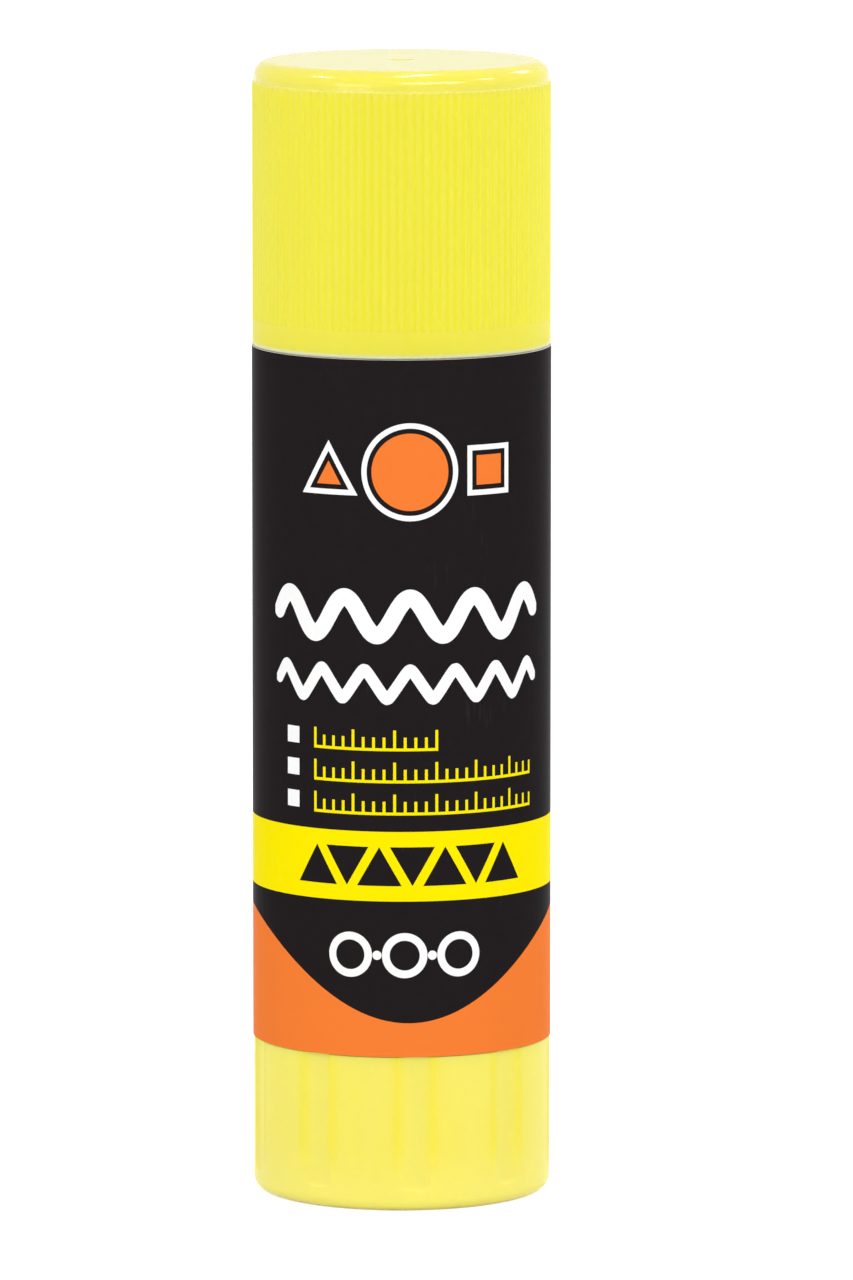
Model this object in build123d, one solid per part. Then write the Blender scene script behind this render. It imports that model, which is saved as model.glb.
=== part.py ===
from build123d import *
import os
from math import cos, degrees, floor, radians, sin, sqrt

# A twist-up glue stick that stands on its knob under a ribbed pull-off cap.
# All sizes are in millimetres. The origin is at the bottom centre, Z is up,
# and the front of the label faces -Y.

# The stack from the table up
barrel_diameter = 27.0
knob_height = 14.1
knob_gap = 0.05
sleeve_length = 62.9
cap_gap = 0.05
cap_height = 25.6
neck_length = 12.6

# Outer sleeve, which carries the label
label_thickness = 0.1
label_foot_land = 0.02
label_head_land = 0.02
sleeve_wall = 1.2
sleeve_lip_height = 1.4
sleeve_lip_clearance = 0.05
snap_bead_depth = 0.2
snap_bead_height = 0.6
snap_bead_rise = 0.7
snap_clearance = 0.05

# Inner tube, which holds the glue
centring_rib_count = 6
centring_rib_width = 1.0
centring_rib_depth = 0.85
tube_fit = 0.05
tube_wall = 1.2
web_thickness = 1.6
skirt_floor_gap = 3.5
spline_count = 4
spline_width = 1.2
spline_depth = 0.45
spline_rim_gap = 1.5
neck_bead_depth = 0.12
neck_bead_rise = 4.1
rim_fillet = 0.4

# Screw spindle
journal_radius = 3.0
journal_clearance = 0.05
thrust_clearance = 0.05
flange_radius = 5.6
flange_thickness = 1.2
core_radius = 2.2
thread_depth = 1.2
thread_lead = 4.5
thread_root_width = 2.2
thread_crest_width = 1.2
thread_sink = 0.15
thread_start_gap = 1.5
thread_end_gap = 1.7
spindle_rim_gap = 3.0
spindle_tip_gap = 0.5
hex_flats = 4.8
hex_clearance = 0.05
barb_radius = 2.5
barb_height = 1.05
barb_tip_radius = 1.6
barb_neck_radius = 1.9
barb_land = 0.3
barb_slot = 0.8

# Turning knob at the foot
knob_inset = 0.08
knob_wall = 1.3
knob_bottom_fillet = 1.2
knob_rim_fillet = 0.06
stand_ring_width = 2.45
foot_recess = 1.5
knob_floor = 1.5
barb_hole_clearance = 0.1
boss_wall = 1.6
guide_ring_height = 2.2
guide_ring_drop = 0.8
guide_clearance = 0.1
stiffener_count = 6
stiffener_width = 0.9
stiffener_gap = 0.6
flute_count = 9
flute_width = 3.2
flute_depth = 0.34
flute_foot = 1.8
flute_foot_fillet = 0.7
flute_phase_degrees = 5.4

# Platform, the nut that lifts the glue
platform_clearance = 0.2
platform_height = 8.0
platform_base = 1.4
platform_wall = 0.8
wiper_depth = 0.1
wiper_height = 0.8
wiper_inset = 0.9
nut_height = 6.0
nut_wall = 1.35
nut_core_clearance = 0.2
thread_clearance = 0.15
spline_clearance = 0.12
glue_key_count = 4
glue_key_width = 0.8
glue_key_height = 4.0

# Glue left in the tube, with a worn top
glue_gap = 0.12
glue_length = 17.9
glue_setback = 0.5
glue_dome = 0.7
glue_edge_fillet = 1.1
glue_hole_clearance = 0.35

# Cap shell
cap_inset = 0.06
cap_rib_count = 112
cap_rib_depth = 0.07
cap_rib_width = 0.62
cap_rib_rounding = 0.14
cap_rib_drop = 1.8
cap_crown_step = 0.16
cap_crown_fillet = 1.35
cap_band_height = 2.4
cap_mouth_fillet = 0.15
cap_wall = 1.18
cap_roof = 1.4
keeper_bead_depth = 0.15
keeper_bead_height = 0.5
keeper_bead_rise = 0.2
gate_dimple_radius = 1.1
gate_dimple_depth = 0.1

# Sealing cup inside the cap
seal_clearance = 0.05
seal_wall = 0.6
seal_roof = 0.8
seal_keeper_gap = 0.1
seal_neck_clearance = 0.06
seal_bead_height = 1.0
seal_bead_rise = 9.7

# How far a cutting tool runs past the face that it cuts
overrun = 1.0

# Heights of the stack
sleeve_bottom = knob_height + knob_gap
sleeve_top = sleeve_bottom + sleeve_length
neck_top = sleeve_top + neck_length
cap_bottom = sleeve_top + cap_gap
cap_top = cap_bottom + cap_height
web_top = sleeve_bottom + web_thickness
knob_floor_top = foot_recess + knob_floor
skirt_bottom = knob_floor_top + skirt_floor_gap
flange_bottom = web_top + thrust_clearance
flange_top = flange_bottom + flange_thickness
spindle_top = neck_top - spindle_rim_gap
thread_bottom = flange_top + thread_start_gap
thread_top = spindle_top - thread_end_gap
glue_top = neck_top - glue_setback
platform_bottom = glue_top - glue_length - platform_base
cap_roof_underside = cap_top - cap_roof

# Radii from the outside in
barrel_radius = barrel_diameter / 2
sleeve_radius = barrel_radius - label_thickness
sleeve_bore = sleeve_radius - sleeve_wall
centring_radius = sleeve_bore - tube_fit
tube_radius = centring_radius - centring_rib_depth
tube_bore = tube_radius - tube_wall
spline_tip_radius = tube_bore - spline_depth
thread_radius = core_radius + thread_depth
glue_radius = tube_bore - glue_gap
platform_radius = tube_bore - platform_clearance
nut_radius = thread_radius + thread_clearance + nut_wall
knob_radius = barrel_radius - knob_inset
knob_bore = knob_radius - knob_wall
hex_corner_radius = hex_flats / sqrt(3)
boss_radius = hex_corner_radius + boss_wall
cap_radius = barrel_radius - cap_inset
cap_root_radius = cap_radius - cap_rib_depth
cap_bore = cap_root_radius - cap_wall
crown_radius = cap_radius - cap_crown_step
seal_radius = cap_bore - seal_clearance
seal_bore = seal_radius - seal_wall


def turned(*corners):
    """A solid of revolution about Z from its corners, each a radius and a height."""
    outline = Plane.XZ * Polyline(*corners, close=True)
    return revolve(make_face(outline), axis=Axis.Z)


def ring(outer, inner, bottom, top):
    """A plain ring between two heights."""
    return turned((inner, bottom), (outer, bottom), (outer, top), (inner, top))


def disc(radius, bottom, top):
    """A plain disc between two heights."""
    return ring(radius, 0, bottom, top)


def bar(start, end, width, bottom, top, angle):
    """An upright rib that runs outwards from one radius to another."""
    solid = Box(end - start, width, top - bottom, align=(Align.MIN, Align.CENTER, Align.MIN))
    return Rot(0, 0, angle) * Pos(start, 0, bottom) * solid


def bars_around(count, start, end, width, bottom, top, first=0):
    """Equal ribs all round the axis."""
    step = 360 / count
    return [bar(start, end, width, bottom, top, first + i * step) for i in range(count)]


def round_edge(solid, radius, height):
    """The circular edge of a solid that lies nearest to a radius and a height."""
    circles = solid.edges().filter_by(GeomType.CIRCLE)
    return circles.sort_by(lambda e: abs(e.radius - radius) + abs(e.center().Z - height))[0]


def polar(radius, angle):
    """A point in plan from its radius and its angle in degrees."""
    return radius * cos(radians(angle)), radius * sin(radians(angle))


def thread_ridge(bottom, top, clearance):
    """The ridge of the left-hand thread, grown on every side by a clearance."""
    sunk_radius = core_radius - thread_sink
    height = thread_depth + thread_sink + clearance
    root = thread_root_width / 2 + clearance
    crest = thread_crest_width / 2 + clearance
    helix = Helix(pitch=thread_lead, height=top - bottom, radius=sunk_radius, lefthand=True)
    section = Plane(origin=helix @ 0, x_dir=(1, 0, 0), z_dir=helix % 0)
    outline = section * Polyline((0, -root), (height, -crest), (height, crest), (0, root), close=True)
    return Pos(0, 0, bottom) * sweep(make_face(outline), path=helix, is_frenet=True)


def hexagon(flats, bottom, top):
    """A hexagonal bar, measured across its flats."""
    section = RegularPolygon(flats / 2, 6, major_radius=False)
    return Pos(0, 0, bottom) * extrude(section, top - bottom)


def make_outer_sleeve():
    """The straight outer sleeve: open below, with an inward lip at its neck end."""
    lip_bottom = sleeve_top - sleeve_lip_height
    body = ring(sleeve_radius, sleeve_bore, sleeve_bottom, sleeve_top)
    lip = ring(sleeve_radius, tube_radius + sleeve_lip_clearance, lip_bottom, sleeve_top)
    groove_bottom = sleeve_bottom + snap_bead_rise - snap_clearance
    groove_top = groove_bottom + snap_bead_height + 2 * snap_clearance
    groove = ring(sleeve_bore + snap_bead_depth, sleeve_bore - tube_fit, groove_bottom, groove_top)
    return body + lip - groove


def make_label():
    """The printed film that wraps the sleeve, with a bare land at each end."""
    return ring(barrel_radius, sleeve_radius,
                sleeve_bottom + label_foot_land, sleeve_top - label_head_land)


def make_glue_tube():
    """The inner tube: neck, splines, bottom web with the spindle bearing, and guide skirt."""
    lip_bottom = sleeve_top - sleeve_lip_height
    bead_bottom = sleeve_bottom + snap_bead_rise
    bead_middle = bead_bottom + snap_bead_height / 2
    bead_radius = centring_radius + snap_bead_depth
    bead_root = centring_radius - snap_bead_depth
    neck_bead = sleeve_top + neck_bead_rise
    neck_bead_root = tube_radius - neck_bead_depth
    neck_bead_tip = tube_radius + neck_bead_depth

    wall = ring(tube_radius, tube_bore, skirt_bottom, neck_top)
    wall = fillet(round_edge(wall, tube_radius, neck_top), rim_fillet)
    web = ring(centring_radius, journal_radius + journal_clearance, sleeve_bottom, web_top)
    snap = turned(
        (bead_root, bead_bottom),
        (centring_radius, bead_bottom),
        (bead_radius, bead_middle),
        (centring_radius, bead_bottom + snap_bead_height),
        (bead_root, bead_bottom + snap_bead_height),
    )
    bead = turned(
        (neck_bead_root, neck_bead - 2 * neck_bead_depth),
        (tube_radius, neck_bead - 2 * neck_bead_depth),
        (neck_bead_tip, neck_bead),
        (tube_radius, neck_bead + 2 * neck_bead_depth),
        (neck_bead_root, neck_bead + 2 * neck_bead_depth),
    )
    middle_of_wall = tube_radius - tube_wall / 2
    ribs = bars_around(centring_rib_count, middle_of_wall, centring_radius, centring_rib_width,
                       sleeve_bottom, lip_bottom, 180 / centring_rib_count)
    splines = bars_around(spline_count, spline_tip_radius, middle_of_wall, spline_width,
                          sleeve_bottom, neck_top - spline_rim_gap)
    return wall + web + snap + bead + ribs + splines


def make_spindle():
    """The screw: split barb, hexagonal drive, journal, thrust flange and left-hand thread."""
    barb_top = foot_recess - thrust_clearance
    barb_bottom = barb_top - barb_height
    barb = turned(
        (0, barb_bottom),
        (barb_tip_radius, barb_bottom),
        (barb_radius, barb_top - barb_land),
        (barb_radius, barb_top),
        (0, barb_top),
    )
    neck = disc(barb_neck_radius, barb_bottom, knob_floor_top)
    slot = Pos(0, 0, barb_bottom) * Box(
        2 * barb_radius + overrun, barb_slot, knob_floor_top - barb_bottom,
        align=(Align.CENTER, Align.CENTER, Align.MIN))
    drive = hexagon(hex_flats, knob_floor_top, knob_height)
    journal = disc(journal_radius, knob_height, flange_bottom)
    flange = disc(flange_radius, flange_bottom, flange_top)
    core = disc(core_radius, flange_top, spindle_top)
    core = chamfer(round_edge(core, core_radius, spindle_top), spindle_tip_gap)
    ridge = thread_ridge(thread_bottom, thread_top, 0)
    return (barb + neck - slot) + drive + journal + flange + (core + ridge)


def flute(angle):
    """The round cutter for one finger flute of the knob."""
    radius = (flute_width ** 2 / 4 + flute_depth ** 2) / (2 * flute_depth)
    reach = knob_radius - flute_depth + radius
    height = knob_height + overrun - flute_foot
    cutter = Cylinder(radius, height, align=(Align.CENTER, Align.CENTER, Align.MIN))
    cutter = fillet(round_edge(cutter, radius, 0), flute_foot_fillet)
    return Rot(0, 0, angle) * Pos(reach, 0, flute_foot) * cutter


def make_knob():
    """The fluted knob: a cup on a stand ring, with the boss that drives the spindle."""
    front = -90
    ring_top = knob_height - guide_ring_drop
    shell = disc(knob_radius, 0, knob_height)
    shell = fillet(round_edge(shell, knob_radius, 0), knob_bottom_fillet)
    shell = fillet(round_edge(shell, knob_radius, knob_height), knob_rim_fillet)
    recess = disc(knob_radius - stand_ring_width, -overrun, foot_recess)
    bore = disc(knob_bore, knob_floor_top, knob_height + overrun)
    shell = shell - recess - bore
    step = 360 / flute_count
    shell -= [flute(front + flute_phase_degrees + i * step) for i in range(flute_count)]

    guide = ring(knob_radius - knob_wall / 2, tube_radius + guide_clearance,
                 ring_top - guide_ring_height, ring_top)
    guide = guide & disc(knob_radius - flute_depth, 0, knob_height)
    boss = disc(boss_radius, foot_recess, knob_height)
    stiffeners = bars_around(stiffener_count, boss_radius - boss_wall / 2, knob_bore + flute_depth,
                             stiffener_width, knob_floor_top, skirt_bottom - stiffener_gap)
    socket = hexagon(hex_flats + 2 * hex_clearance, knob_floor_top, knob_height + overrun)
    hole = disc(barb_neck_radius + barb_hole_clearance, 0, knob_floor_top)
    return shell + guide + boss + stiffeners - socket - hole


def make_platform():
    """The platform: a cup with a threaded nut, notched for the splines of the tube."""
    top = platform_bottom + platform_height
    base_top = platform_bottom + platform_base
    inner = platform_radius - platform_wall
    cup = disc(platform_radius, platform_bottom, top) - disc(inner, base_top, top + overrun)
    for foot in (platform_bottom + wiper_inset, top - wiper_inset - wiper_height):
        cup += ring(platform_radius + wiper_depth, platform_radius - platform_wall / 2,
                    foot, foot + wiper_height)
    keys = bars_around(glue_key_count, nut_radius - nut_wall / 2, inner + platform_wall / 2,
                       glue_key_width, base_top, base_top + glue_key_height, 180 / glue_key_count)
    notches = bars_around(spline_count, spline_tip_radius - spline_clearance, tube_bore + overrun,
                          spline_width + 2 * spline_clearance, platform_bottom - overrun, top + overrun)
    socket = disc(nut_radius - nut_wall / 2, platform_bottom - overrun, top + overrun)
    return cup + keys - notches - socket + make_nut()


def make_nut():
    """The threaded sleeve of the platform, in step with the thread of the spindle."""
    nut = disc(nut_radius, platform_bottom, platform_bottom + nut_height)
    turns = floor((platform_bottom - thread_bottom) / thread_lead) - 1
    groove_bottom = thread_bottom + turns * thread_lead
    groove_top = groove_bottom + nut_height + 3 * thread_lead
    groove = thread_ridge(groove_bottom, groove_top, thread_clearance)
    bore = disc(core_radius + nut_core_clearance, platform_bottom - overrun,
                platform_bottom + nut_height + overrun)
    return nut - groove - bore


def make_glue(platform):
    """The stick of glue, moulded into the platform and worn to a low dome at its top."""
    bottom = platform_bottom + platform_base
    cup_top = platform_bottom + platform_height
    cup_bore = platform_radius - platform_wall
    top_centre = (0, glue_top)
    top_edge = (glue_radius, glue_top - glue_dome)
    side = Polyline((0, bottom), (cup_bore, bottom), (cup_bore, cup_top), (glue_radius, cup_top), top_edge)
    dome = ThreePointArc(top_edge, (glue_radius / 2, glue_top - glue_dome / 4), top_centre)
    axis = Line(top_centre, (0, bottom))
    block = revolve(make_face(Plane.XZ * (side + dome + axis)), axis=Axis.Z)
    block = fillet(round_edge(block, glue_radius, glue_top - glue_dome), glue_edge_fillet)
    hole = disc(thread_radius + glue_hole_clearance, bottom - overrun, glue_top + overrun)
    grooves = bars_around(spline_count, spline_tip_radius - spline_clearance, tube_bore + overrun,
                          spline_width + 2 * spline_clearance, bottom - overrun, glue_top + overrun)
    return block - hole - grooves - platform


def rib_ring(bottom, top):
    """The ribbed grip of the cap, as a solid bar with rounded ribs and flat valleys."""
    pitch = 360 / cap_rib_count
    half = degrees(cap_rib_width / 2 / cap_root_radius)
    edges = []
    for i in range(cap_rib_count):
        middle = i * pitch
        start = polar(cap_root_radius, middle - half)
        end = polar(cap_root_radius, middle + half)
        valley = polar(cap_root_radius, middle + pitch / 2)
        following = polar(cap_root_radius, middle + pitch - half)
        edges.append(ThreePointArc(start, polar(cap_radius, middle), end))
        edges.append(ThreePointArc(end, valley, following))
    bar_solid = Pos(0, 0, bottom) * extrude(make_face(edges), top - bottom)
    envelope = disc(cap_radius + cap_rib_rounding, bottom, top)
    envelope = fillet(round_edge(envelope, cap_radius + cap_rib_rounding, top), 2 * cap_rib_rounding)
    return bar_solid & envelope


def make_cap_shell():
    """The outer cap: smooth crown, ribbed grip, plain band, and a bead that keeps the seal in."""
    rib_top = cap_top - cap_rib_drop
    band_top = cap_bottom + cap_band_height
    crown = disc(crown_radius, rib_top, cap_top)
    crown = fillet(round_edge(crown, crown_radius, cap_top), cap_crown_fillet)
    band = disc(cap_radius, cap_bottom, band_top)
    band = fillet(round_edge(band, cap_radius, cap_bottom), cap_mouth_fillet)
    bead_bottom = cap_bottom + keeper_bead_rise
    bead_top = bead_bottom + keeper_bead_height
    bore = turned(
        (0, cap_bottom - overrun),
        (cap_bore, cap_bottom - overrun),
        (cap_bore, bead_bottom),
        (cap_bore - keeper_bead_depth, (bead_bottom + bead_top) / 2),
        (cap_bore, bead_top),
        (cap_bore, cap_roof_underside),
        (0, cap_roof_underside),
    )
    dimple = disc(gate_dimple_radius, cap_top - gate_dimple_depth, cap_top + overrun)
    return crown + rib_ring(band_top, rib_top) + band - bore - dimple


def make_cap_seal():
    """The thin sealing cup inside the cap, with a bead that hugs the neck of the tube."""
    bottom = cap_bottom + keeper_bead_rise + keeper_bead_height + seal_keeper_gap
    roof_bottom = cap_roof_underside - seal_roof
    bead = bottom + seal_bead_rise
    bead_radius = tube_radius + seal_neck_clearance
    return turned(
        (0, cap_roof_underside),
        (seal_radius, cap_roof_underside),
        (seal_radius, bottom),
        (seal_bore, bottom),
        (seal_bore, bead - seal_bead_height / 2),
        (bead_radius, bead),
        (seal_bore, bead + seal_bead_height / 2),
        (seal_bore, roof_bottom),
        (0, roof_bottom),
    )


def main():
    """Make every piece and write one file for each."""
    platform = make_platform()
    pieces = {
        "knob": make_knob(),
        "spindle": make_spindle(),
        "outer_sleeve": make_outer_sleeve(),
        "label": make_label(),
        "glue_tube": make_glue_tube(),
        "platform": platform,
        "glue": make_glue(platform),
        "cap_seal": make_cap_seal(),
        "cap_shell": make_cap_shell(),
    }
    os.makedirs("parts", exist_ok=True)
    for name, piece in pieces.items():
        export_step(piece, f"parts/{name}.step")


main()
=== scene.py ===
import logging
import math
from dataclasses import dataclass, field
from enum import Enum
from typing import Iterable

import bpy
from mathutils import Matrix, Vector, noise
from mathutils.geometry import delaunay_2d_cdt


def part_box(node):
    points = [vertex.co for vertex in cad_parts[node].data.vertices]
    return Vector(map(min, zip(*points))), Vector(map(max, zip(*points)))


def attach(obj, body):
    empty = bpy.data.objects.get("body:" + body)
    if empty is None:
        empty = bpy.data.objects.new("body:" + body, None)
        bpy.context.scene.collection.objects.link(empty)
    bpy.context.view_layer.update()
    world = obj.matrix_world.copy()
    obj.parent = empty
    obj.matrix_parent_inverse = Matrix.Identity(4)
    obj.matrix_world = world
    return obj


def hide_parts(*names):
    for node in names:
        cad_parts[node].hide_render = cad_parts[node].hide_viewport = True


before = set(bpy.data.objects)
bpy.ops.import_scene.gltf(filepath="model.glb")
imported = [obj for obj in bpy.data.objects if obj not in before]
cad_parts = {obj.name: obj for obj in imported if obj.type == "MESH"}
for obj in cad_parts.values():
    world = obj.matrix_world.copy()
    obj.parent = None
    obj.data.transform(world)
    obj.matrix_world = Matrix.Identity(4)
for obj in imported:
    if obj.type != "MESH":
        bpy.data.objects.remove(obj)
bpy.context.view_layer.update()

log = logging.getLogger("glue_stick")

MM = 0.001

Point = tuple[float, float]
Place = tuple[float, float, float]
Outline = list[Point]
Colour = tuple[float, float, float]
Socket = bpy.types.NodeSocket
Number = float | Socket
Tint = Colour | Socket

# The colour sockets of a Mix node, by number: its other kinds use the same names.
MIX_FACTOR, MIX_FIRST, MIX_SECOND, MIX_RESULT = 0, 6, 7, 2


def linear(red: int, green: int, blue: int) -> Colour:
    """Turn an 8-bit screen colour into Blender's linear values.

    Args:
        red: Red, 0 to 255.
        green: Green, 0 to 255.
        blue: Blue, 0 to 255.

    Returns:
        The same colour in linear light.
    """
    def channel(value: int) -> float:
        """Convert one channel."""
        share = value / 255
        return share / 12.92 if share <= 0.04045 else ((share + 0.055) / 1.055) ** 2.4
    return channel(red), channel(green), channel(blue)


class NodeGraph:
    """A short way to write a node tree."""

    def __init__(self, tree: bpy.types.NodeTree) -> None:
        """Take a node tree and empty it."""
        self.tree = tree
        tree.nodes.clear()

    def add(self, kind: str, inputs: dict | None = None, **settings: object) -> bpy.types.Node:
        """Add one node.

        Args:
            kind: The node's type name.
            inputs: Values or sockets for its inputs, by name or number.
            settings: The node's own properties.

        Returns:
            The new node.
        """
        node = self.tree.nodes.new(kind)
        for name, value in settings.items():
            setattr(node, name, value)
        for key, value in (inputs or {}).items():
            self.feed(node.inputs[key], value)
        return node

    def feed(self, socket: Socket, value: object) -> None:
        """Set an input, or link it when the value is another node's output.

        Args:
            socket: The input.
            value: A constant or an output socket.
        """
        if isinstance(value, Socket):
            self.tree.links.new(value, socket)
        elif isinstance(value, tuple) and socket.type == "RGBA" and len(value) == 3:
            socket.default_value = (*value, 1.0)
        else:
            socket.default_value = value

    def maths(self, operation: str, *values: Number, clamp: bool = False) -> Socket:
        """Add a Math node.

        Args:
            operation: Its operation.
            values: Constants or sockets for its inputs.
            clamp: Keep the result between 0 and 1.

        Returns:
            Its result.
        """
        inputs = dict(enumerate(values))
        node = self.add("ShaderNodeMath", inputs, operation=operation, use_clamp=clamp)
        return node.outputs[0]

    def ramp(self, factor: Socket, low: float, high: float,
             to_low: Number = 0.0, to_high: Number = 1.0) -> Socket:
        """Map one range of values smoothly onto another.

        Args:
            factor: The value to map.
            low: Start of its range.
            high: End of its range.
            to_low: Result at the start.
            to_high: Result at the end.

        Returns:
            The mapped value.
        """
        node = self.add("ShaderNodeMapRange", interpolation_type="SMOOTHSTEP", inputs={
            "Value": factor, "From Min": low, "From Max": high,
            "To Min": to_low, "To Max": to_high})
        return node.outputs["Result"]

    def blend(self, factor: Number, first: Tint, second: Tint) -> Socket:
        """Mix two colours.

        Args:
            factor: 0 for the first, 1 for the second.
            first: A colour or socket.
            second: A colour or socket.

        Returns:
            The mixed colour.
        """
        node = self.add("ShaderNodeMix", data_type="RGBA", inputs={
            MIX_FACTOR: factor, MIX_FIRST: first, MIX_SECOND: second})
        return node.outputs[MIX_RESULT]

    def noise(self, place: Socket, scale: Number, detail: float = 3.0,
              roughness: float = 0.5) -> Socket:
        """Add a Noise Texture.

        Args:
            place: Its coordinates.
            scale: Its scale, as a number or a socket.
            detail: Its octaves.
            roughness: How strong the fine octaves are.

        Returns:
            Its value.
        """
        node = self.add("ShaderNodeTexNoise", inputs={
            "Vector": place, "Scale": scale, "Detail": detail, "Roughness": roughness})
        return node.outputs[0]

    def around(self) -> tuple[Socket, Socket]:
        """Give where a point of a round piece lies.

        Returns:
            Its height, and its angle round the axis from the right.
        """
        place = self.add("ShaderNodeTexCoord").outputs["Object"]
        split = self.add("ShaderNodeSeparateXYZ", {"Vector": place})
        angle = self.maths("ARCTAN2", split.outputs["Y"], split.outputs["X"])
        return split.outputs["Z"], angle

    def reach(self) -> Socket:
        """Give how far a point of a round piece lies from its axis.

        Returns:
            The distance.
        """
        place = self.add("ShaderNodeTexCoord").outputs["Object"]
        flat = self.stretched(place, (1.0, 1.0, 0.0))
        return self.add("ShaderNodeVectorMath", {0: flat}, operation="LENGTH").outputs["Value"]

    def stretched(self, place: Socket, scale: Place) -> Socket:
        """Scale coordinates by a factor along each axis."""
        node = self.add("ShaderNodeVectorMath", {0: place, 1: scale}, operation="MULTIPLY")
        return node.outputs[0]

    def bump(self, height: Socket, distance: float, strength: float = 1.0) -> Socket:
        """Turn a height into a normal.

        Args:
            height: The height, about 0 to 1.
            distance: How far a height of 1 stands up, in metres.
            strength: How much of it shows.

        Returns:
            The normal.
        """
        node = self.add("ShaderNodeBump", {
            "Strength": strength, "Distance": distance, "Height": height})
        return node.outputs[0]


def new_group(
        name: str, inputs: dict[str, float], outputs: Iterable[str]
) -> tuple[NodeGraph, bpy.types.Node, bpy.types.Node]:
    """Start a shader node group with float sockets.

    Args:
        name: The group's name.
        inputs: Names and first values of its inputs.
        outputs: Names of its outputs.

    Returns:
        The graph, its input node and its output node.
    """
    tree = bpy.data.node_groups.new(name, "ShaderNodeTree")
    kind = "NodeSocketFloat"
    for title, value in inputs.items():
        socket = tree.interface.new_socket(name=title, in_out="INPUT", socket_type=kind)
        socket.default_value = value
    for title in outputs:
        tree.interface.new_socket(name=title, in_out="OUTPUT", socket_type=kind)
    graph = NodeGraph(tree)
    return graph, graph.add("NodeGroupInput"), graph.add("NodeGroupOutput")


def new_material(name: str) -> tuple[bpy.types.Material, NodeGraph]:
    """Start a material with an empty node tree.

    Args:
        name: Its name.

    Returns:
        The material and its graph.
    """
    made = bpy.data.materials.new(name)
    made.use_nodes = True
    return made, NodeGraph(made.node_tree)


def new_object(name: str, data: bpy.types.ID) -> bpy.types.Object:
    """Put a mesh, a lamp or a camera into the scene.

    Args:
        name: The object's name.
        data: What it shows.

    Returns:
        The object.
    """
    made = bpy.data.objects.new(name, data)
    bpy.context.scene.collection.objects.link(made)
    return made


def moulded_skin() -> bpy.types.NodeTree:
    """Make the shared skin of a moulded part: flow marks, fine grain and light handling scuffs.

    Returns:
        A group with the masks Flow, Scuff and Height.
    """
    graph, given, out = new_group(
        "moulded_skin", {"Flow Scale": 300.0, "Grain Scale": 4000.0, "Scuff Amount": 0.5},
        ("Flow", "Scuff", "Height"))
    place = graph.add("ShaderNodeTexCoord").outputs["Object"]
    upright = graph.stretched(place, (1.0, 1.0, 0.12))
    flow = graph.noise(upright, given.outputs["Flow Scale"], detail=4.0, roughness=0.6)
    grain = graph.noise(place, given.outputs["Grain Scale"], detail=2.0)
    drawn = graph.stretched(place, (1.0, 1.0, 0.06))
    scratches = graph.noise(drawn, scale=2600.0, detail=2.0, roughness=0.4)
    patches = graph.ramp(graph.noise(place, scale=160.0, roughness=0.6), 0.52, 0.72)
    scuff = graph.maths("MULTIPLY", graph.ramp(scratches, 0.6, 0.72), patches)
    scuff = graph.maths("MULTIPLY", scuff, given.outputs["Scuff Amount"], clamp=True)
    height = graph.maths("SUBTRACT", grain, graph.maths("MULTIPLY", scuff, 0.5))
    graph.feed(out.inputs["Flow"], graph.ramp(flow, 0.3, 0.7))
    graph.feed(out.inputs["Scuff"], scuff)
    graph.feed(out.inputs["Height"], height)
    return graph.tree


def printed_film() -> bpy.types.NodeTree:
    """Make the shared surface of the printed film: faint ripples, ink mottle and rubbed spots.

    Returns:
        A group with the masks Mottle, Rub and Height.
    """
    graph, given, out = new_group(
        "printed_film", {"Ripple Scale": 70.0, "Rub Amount": 0.5}, ("Mottle", "Rub", "Height"))
    place = graph.add("ShaderNodeTexCoord").outputs["Object"]
    upright = graph.stretched(place, (1.0, 1.0, 0.3))
    ripple = graph.noise(upright, given.outputs["Ripple Scale"], detail=2.0, roughness=0.4)
    peel = graph.noise(place, scale=1500.0, detail=2.0)
    mottle = graph.noise(place, scale=900.0, detail=4.0, roughness=0.65)
    drawn = graph.stretched(place, (1.0, 1.0, 0.1))
    scratches = graph.noise(drawn, scale=3000.0, detail=2.0)
    patches = graph.ramp(graph.noise(place, scale=120.0, detail=2.0), 0.55, 0.75)
    rub = graph.maths("MULTIPLY", graph.ramp(scratches, 0.58, 0.7), patches)
    rub = graph.maths("MULTIPLY", rub, given.outputs["Rub Amount"], clamp=True)
    height = graph.maths("ADD", ripple, graph.maths("MULTIPLY", peel, 0.04))
    graph.feed(out.inputs["Mottle"], mottle)
    graph.feed(out.inputs["Rub"], rub)
    graph.feed(out.inputs["Height"], height)
    return graph.tree


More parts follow.
